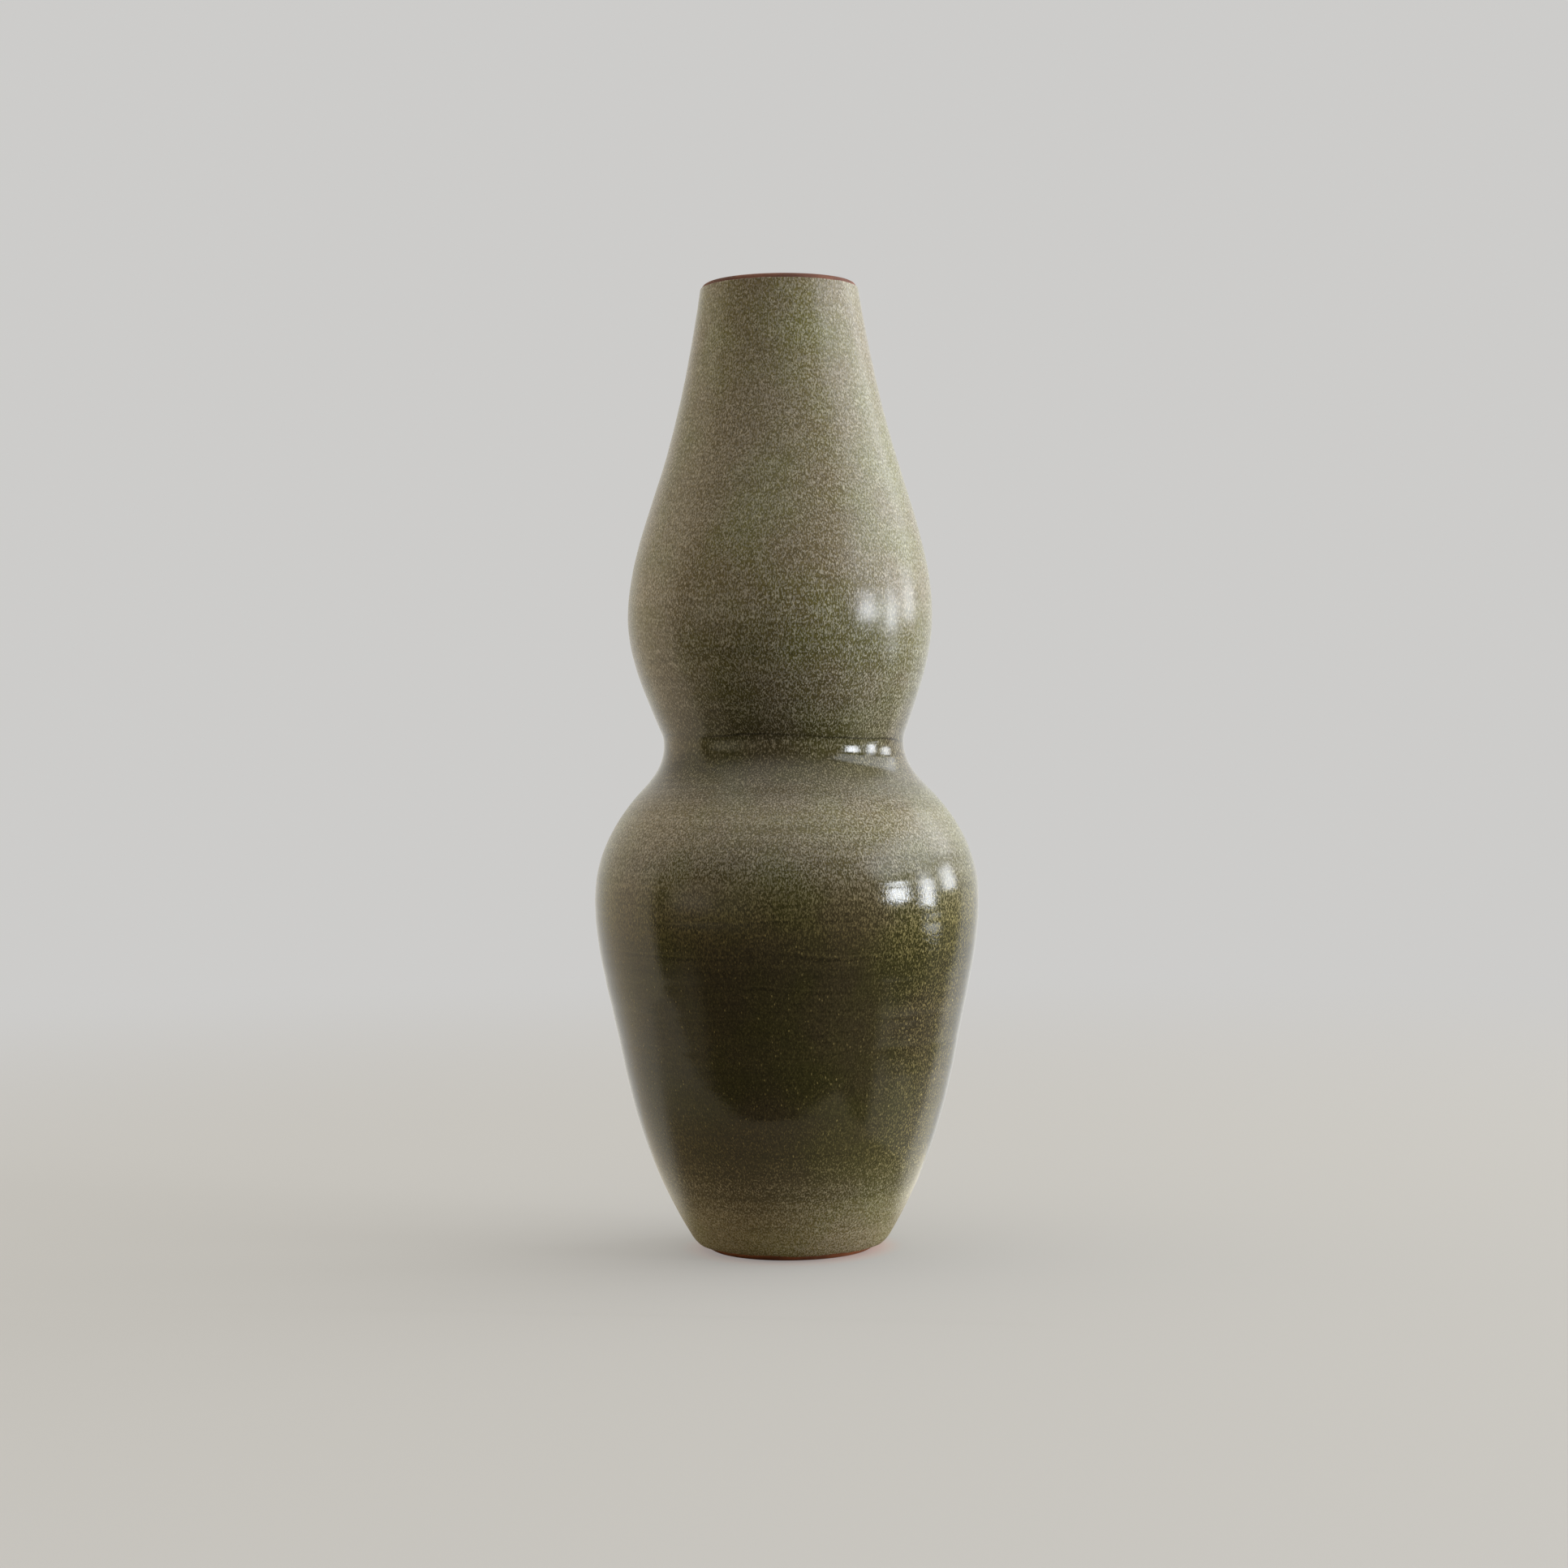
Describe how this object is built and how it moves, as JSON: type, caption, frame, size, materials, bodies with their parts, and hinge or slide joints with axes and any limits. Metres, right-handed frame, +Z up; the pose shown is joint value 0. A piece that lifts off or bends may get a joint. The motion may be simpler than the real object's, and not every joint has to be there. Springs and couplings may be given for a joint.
{
  "type": "stoneware vase",
  "caption": "Tall double-gourd stoneware vase with a tapering neck, speckled olive ash glaze, and bare red clay at the lip and foot; it stands on a turned foot ring and holds stems and water.",
  "frame": {"origin": "centre of the circle that the foot ring stands on", "axes": "+Z up along the vase's axis, from the foot to the lip; X and Y level, and all directions round the axis are alike"},
  "size_m": [0.1834, 0.1834, 0.46],
  "materials": {
    "red_stoneware": "matte",
    "joint_slip": "matte",
    "ash_glaze": "gloss",
    "liner_glaze": "gloss"
  },
  "bodies": {
    "root": {"lower_section": "red_stoneware", "upper_section": "red_stoneware", "waist_slip": "joint_slip", "outer_glaze": "ash_glaze", "liner_glaze": "liner_glaze"}
  },
  "joints": []
}
